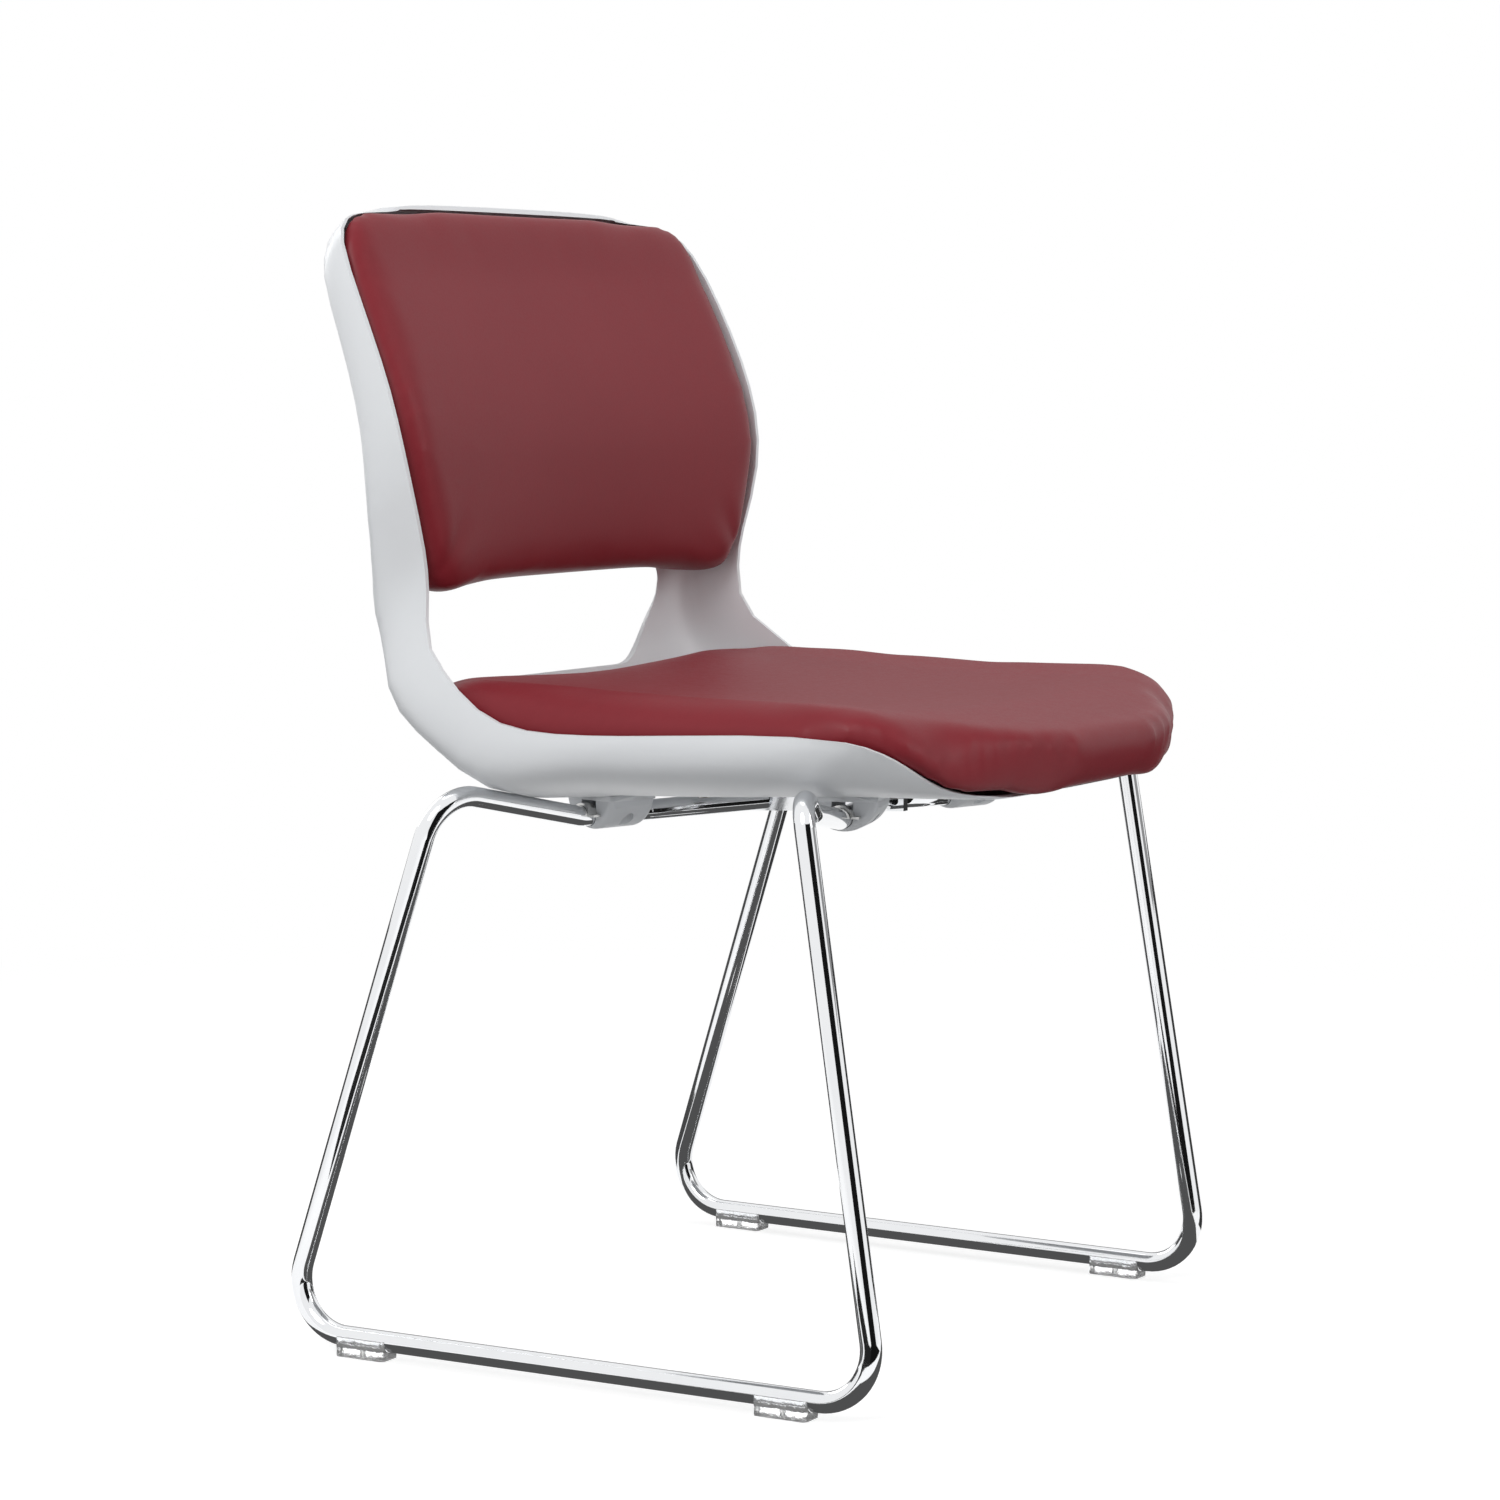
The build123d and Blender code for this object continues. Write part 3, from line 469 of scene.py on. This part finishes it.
shell = merged_copy("seat_back_shell", "moulded_shell")
for vertex in shell.data.vertices:
    x, y, z = vertex.co
    flare = hump(abs(x), *FLARE_ACROSS) * hump(z, *FLARE_UP) * ease(y, *FLARE_ALONG)
    vertex.co.x += math.copysign(WINDOW_FLARE, x) * flare
    bar = ease(y, *BAR_ALONG) * hump(z, *BAR_UP) * (1 - ease(abs(x), *BAR_ACROSS))
    vertex.co.z -= BAR_DROP * bar
shade(shell, SHELL_CRISP)
stand_for(shell, shell_white, "shell", "seat_back_shell")
for side in ("right", "left"):
    tube = merged_copy("side_frame_" + side, "bent_tube_" + side)
    shade(tube, TUBE_CRISP)
    stand_for(tube, chrome, "tube", "side_frame_" + side)
print("shell faces:", len(shell.data.polygons), "tube faces:", len(tube.data.polygons))

# %% Finishes on the solids that stay
ZINC_NODES = ("saddle_screws", "tube_clips", "seat_pad_tee_nuts", "seat_pad_screws", "glide_pins")
BOARD_NODES = ("seat_pad_board", "back_pad_board")


def dress(node, material):
    data = nodes[node].data
    data.materials.clear()
    data.materials.append(material)


for node in nodes:
    if node in ZINC_NODES:
        dress(node, zinc)
    elif node in BOARD_NODES:
        dress(node, plywood)
    elif node.startswith("saddle_"):
        dress(node, saddle_grey)
    elif node.startswith("glide_"):
        dress(node, clear)
dress("frame_spine", chrome)
dress("back_pad_pegs", peg_black)
print("dressed solids:", sum(1 for o in nodes.values() if not o.hide_render))

# %% [markdown]
# ## Soft pads
# A pad is foam in a leather skin that is pulled round a board. The foam's solid is a little
# smaller than the finished pad, so a copy of it is remeshed, swollen by cloth pressure, and
# stopped where the leather would stretch no further.

# %% Swelling a pad
VOXEL = 0.005
STEPS = 20
PRESSURE = 4.0
POINT_MASS = 0.3
SMOOTH_SHARE = 0.5


def settle(piece):
    """Bakes the modifiers into the mesh."""
    graph = bpy.context.evaluated_depsgraph_get()
    mesh = bpy.data.meshes.new_from_object(piece.evaluated_get(graph))
    piece.modifiers.clear()
    piece.data = mesh


def remesh(piece, grow):
    """Even squares all over, then a skin's thickness outwards."""
    step = piece.modifiers.new("voxels", "REMESH")
    step.mode = "VOXEL"
    step.voxel_size = VOXEL
    settle(piece)
    ways = [vertex.normal.copy() for vertex in piece.data.vertices]
    for vertex, way in zip(piece.data.vertices, ways):
        vertex.co += way * grow


def swell(piece, held, cap):
    """Cloth pressure from inside; held(point) keeps a point, cap(point) limits its way."""
    start = [vertex.co.copy() for vertex in piece.data.vertices]
    group = piece.vertex_groups.new(name="held")
    group.add([i for i, point in enumerate(start) if held(point)], 1.0, "REPLACE")
    cloth = piece.modifiers.new("swell", "CLOTH")
    cloth.settings.use_pressure = True
    cloth.settings.uniform_pressure_force = PRESSURE
    cloth.settings.vertex_group_mass = "held"
    cloth.settings.effector_weights.gravity = 0.0
    cloth.settings.mass = POINT_MASS
    cloth.collision_settings.use_collision = False
    cloth.point_cache.frame_end = STEPS
    for step in range(1, STEPS + 1):
        scene.frame_set(step)
    settle(piece)
    scene.frame_set(1)
    piece.vertex_groups.clear()
    for vertex, before in zip(piece.data.vertices, start):
        way = vertex.co - before
        limit = cap(before)
        if way.length > limit:
            vertex.co = before + way * (limit / way.length)


def smooth(piece, rounds):
    bm = bmesh.new()
    bm.from_mesh(piece.data)
    for _ in range(rounds):
        bmesh.ops.smooth_vert(bm, verts=bm.verts, factor=SMOOTH_SHARE,
                              use_axis_x=True, use_axis_y=True, use_axis_z=True)
    bm.to_mesh(piece.data)
    bm.free()


print("voxel", VOXEL, "steps", STEPS)

# %% Seat pad
seat_low, seat_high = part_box("seat_pad_cover")
SEAT_GROW = 0.0022
SEAT_SMOOTH = 8
SEAT_SWELL = 0.0018
SEAT_CROWN = 0.003
CROWN_UP = (seat_high.z - 0.022, seat_high.z - 0.006)
CROWN_ALONG = (seat_low.y + 0.03, seat_low.y + 0.08)
HELD_TOP = seat_low.z + 0.022
HELD_FRONT = seat_low.y + 0.06


def seat_held(point):
    """The underside behind the nose stays where the board holds it."""
    return point.z < HELD_TOP and point.y > HELD_FRONT


def seat_cap(point):
    """The sitting surface and the nose swell more than the sides."""
    crown = max(ease(point.z, *CROWN_UP), 1 - ease(point.y, *CROWN_ALONG))
    return SEAT_SWELL + SEAT_CROWN * crown


seat_pad = merged_copy("seat_pad_foam", "seat_pad")
remesh(seat_pad, SEAT_GROW)
swell(seat_pad, seat_held, seat_cap)
smooth(seat_pad, SEAT_SMOOTH)
print("seat pad vertices:", len(seat_pad.data.vertices))

# %% [markdown]
# The leather is pulled tight over the foam, so the seat has a crest along each side, a dish
# between the crests, a rear edge that rises and leans back to the shell, and a nose that
# rolls down until it almost meets the lip. Each of these is a smooth move of the swollen mesh.

# %% Sitting surface
SURFACE_UP = (seat_high.z - 0.03, seat_high.z - 0.012)
CREST = 0.206
CREST_STEP = 0.006
CREST_ACROSS = (CREST - 0.05, CREST)
DISH_FRONT = seat_low.y + 0.03
DISH_REAR = seat_high.y - 0.012
DISH_ALONG = (DISH_FRONT, DISH_FRONT + 0.1, DISH_REAR - 0.05, DISH_REAR)
REAR_RISE = 0.0055
RISE_MIDDLE = 0.4
RISE_ACROSS = (0.12, 0.19)
RISE_ALONG = (-0.1, 0.14)


def dish_at(x, y):
    """How far the sitting surface drops behind the crest that runs along its edge."""
    return CREST_STEP * (1 - ease(abs(x), *CREST_ACROSS)) * hump(y, *DISH_ALONG)


def rise_at(x, y):
    """How far the sitting surface comes up towards the rear, with more in the middle."""
    middle = RISE_MIDDLE * (1 - ease(abs(x), *RISE_ACROSS))
    return REAR_RISE * (1 + middle) * ease(y, *RISE_ALONG)


print("seat rises", REAR_RISE, "at the rear, dish step", CREST_STEP)

# %% Rear edge and nose
REAR_LEAN = 0.038
LEAN_CORNER = 0.4
LEAN_ACROSS = (0.14, 0.2)
LEAN_ALONG = (0.05, seat_high.y)
LEAN_UP = (0.4, 0.428)
LIP_Y, LIP_SWEEP, SWEEP_ACROSS = -0.224, 0.0325, (0.09, 0.205)
LIP_Z, LIP_CLIMB, CLIMB_ACROSS = 0.384, 0.0295, (0.1, 0.205)
NOSE_FRONT, NOSE_REAR = -0.008, 0.026
NOSE_FULL, NOSE_TOP = 0.014, 0.04
NOSE_REACH = 0.008
NOSE_DROP = 0.0125
CORNER_DROP = 0.006
CORNER_ACROSS = (0.04, 0.11, 0.15, 0.2)
END_SHARE = 0.2
END_ACROSS = (0.15, 0.185)


def lean_at(x, y, z):
    """How far the rear edge leans back, with less at its corners."""
    corner = LEAN_CORNER * ease(abs(x), *LEAN_ACROSS)
    return REAR_LEAN * (1 - corner) * ease(y, *LEAN_ALONG) * ease(z, *LEAN_UP)


def nose_at(x, y, z):
    """How far forward a point near the shell's lip goes, and how far down."""
    lip_y = LIP_Y + LIP_SWEEP * ease(abs(x), *SWEEP_ACROSS)
    lip_z = LIP_Z + LIP_CLIMB * ease(abs(x), *CLIMB_ACROSS)
    nose = 1 - ease(y, lip_y + NOSE_FRONT, lip_y + NOSE_REAR)
    lower = 1 - ease(z, lip_z + NOSE_FULL, lip_z + NOSE_TOP)
    drop = NOSE_DROP + CORNER_DROP * hump(abs(x), *CORNER_ACROSS)
    drop *= 1 - END_SHARE * ease(abs(x), *END_ACROSS)
    return NOSE_REACH * nose, drop * nose * lower


for vertex in seat_pad.data.vertices:
    x, y, z = vertex.co
    reach, drop = nose_at(x, y, z)
    vertex.co.y += lean_at(x, y, z) - reach
    vertex.co.z += (rise_at(x, y) - dish_at(x, y)) * ease(z, *SURFACE_UP) - drop
print("rear edge leans", REAR_LEAN, "and the nose drops", NOSE_DROP)

# %% Back pad
back_low, back_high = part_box("back_pad_cover")
BACK_GROW = 0.0018
BACK_SMOOTH = 5
BACK_SWELL = 0.0026

back_pad = merged_copy("back_pad_foam", "back_pad")
remesh(back_pad, BACK_GROW)
swell(back_pad, held=lambda point: False, cap=lambda point: BACK_SWELL)
smooth(back_pad, BACK_SMOOTH)
print("back pad vertices:", len(back_pad.data.vertices))

# %% [markdown]
# The back pad fills its rim: its top edge comes up to the shell's lip and its sides come out
# to the rim. The lower edge is drawn up in a shallow arch between two pulled corners, and
# short folds fan out from each corner, where the leather is gathered round the board.

# %% Folds at the pulled corners
FOLD_X = 0.196
FOLD_Z = back_low.z + 0.004
FOLD_DEPTH = 0.0016
FOLD_REACH = (0.004, 0.018, 0.02, 0.075)
FOLD_ANGLE = 1.0
FOLD_SPREAD = 0.55
FOLD_WAVES = 9.0


def fold_at(x, z):
    """Folds that fan out from the pulled corner and die away from it."""
    across, up = FOLD_X - abs(x), z - FOLD_Z
    turn = math.atan2(up, across) - FOLD_ANGLE
    fan = math.exp(-(turn / FOLD_SPREAD) ** 2) * math.cos(FOLD_WAVES * turn)
    return FOLD_DEPTH * fan * hump(math.hypot(across, up), *FOLD_REACH)


print("folds", FOLD_DEPTH, "deep")

# %% Edges of the back pad
TOP_RISE = 0.0084
TOP_UP = (back_high.z - 0.045, back_high.z - 0.012)
SHOULDER_SHARE = 0.44
SHOULDER_ACROSS = (0.09, 0.15)
CORNER_SHARE = 0.5
TOP_CORNER_ACROSS = (0.18, 0.21)
SIDE_REACH = 0.003
SIDE_TOP = 0.4
SIDE_ACROSS = (0.15, 0.21)
ARCH = 0.005
ARCH_ACROSS = (0.1, 0.19)
FOOT_UP = (back_low.z, back_low.z + 0.04)

faces_sitter = [vertex.normal.y < 0 for vertex in back_pad.data.vertices]
for vertex, front in zip(back_pad.data.vertices, faces_sitter):
    x, y, z = vertex.co
    wide = abs(x)
    top = ease(z, *TOP_UP)
    foot = 1 - ease(z, *FOOT_UP)
    shoulder = SHOULDER_SHARE * ease(wide, *SHOULDER_ACROSS)
    corner = CORNER_SHARE * ease(wide, *TOP_CORNER_ACROSS)
    side = ease(wide, *SIDE_ACROSS) * (1 - foot) * (1 + SIDE_TOP * top)
    vertex.co.x += math.copysign(SIDE_REACH, x) * side
    vertex.co.z += TOP_RISE * (1 - shoulder + corner) * top
    vertex.co.z += ARCH * foot * (1 - ease(wide, *ARCH_ACROSS))
    if front:
        vertex.co.y += fold_at(x, z)
print("back pad top rises", TOP_RISE)

# %% Finish the pads
LAST_SMOOTH = 3


def finish_pad(piece, material, *replaced):
    smooth(piece, LAST_SMOOTH)
    piece.data.shade_smooth()
    finer = piece.modifiers.new("finer", "SUBSURF")
    finer.levels = 1
    finer.render_levels = 1
    stand_for(piece, material, "leather", *replaced)


finish_pad(seat_pad, seat_leather, "seat_pad_cover", "seat_pad_foam")
finish_pad(back_pad, leather, "back_pad_cover", "back_pad_foam")
print("pads done")
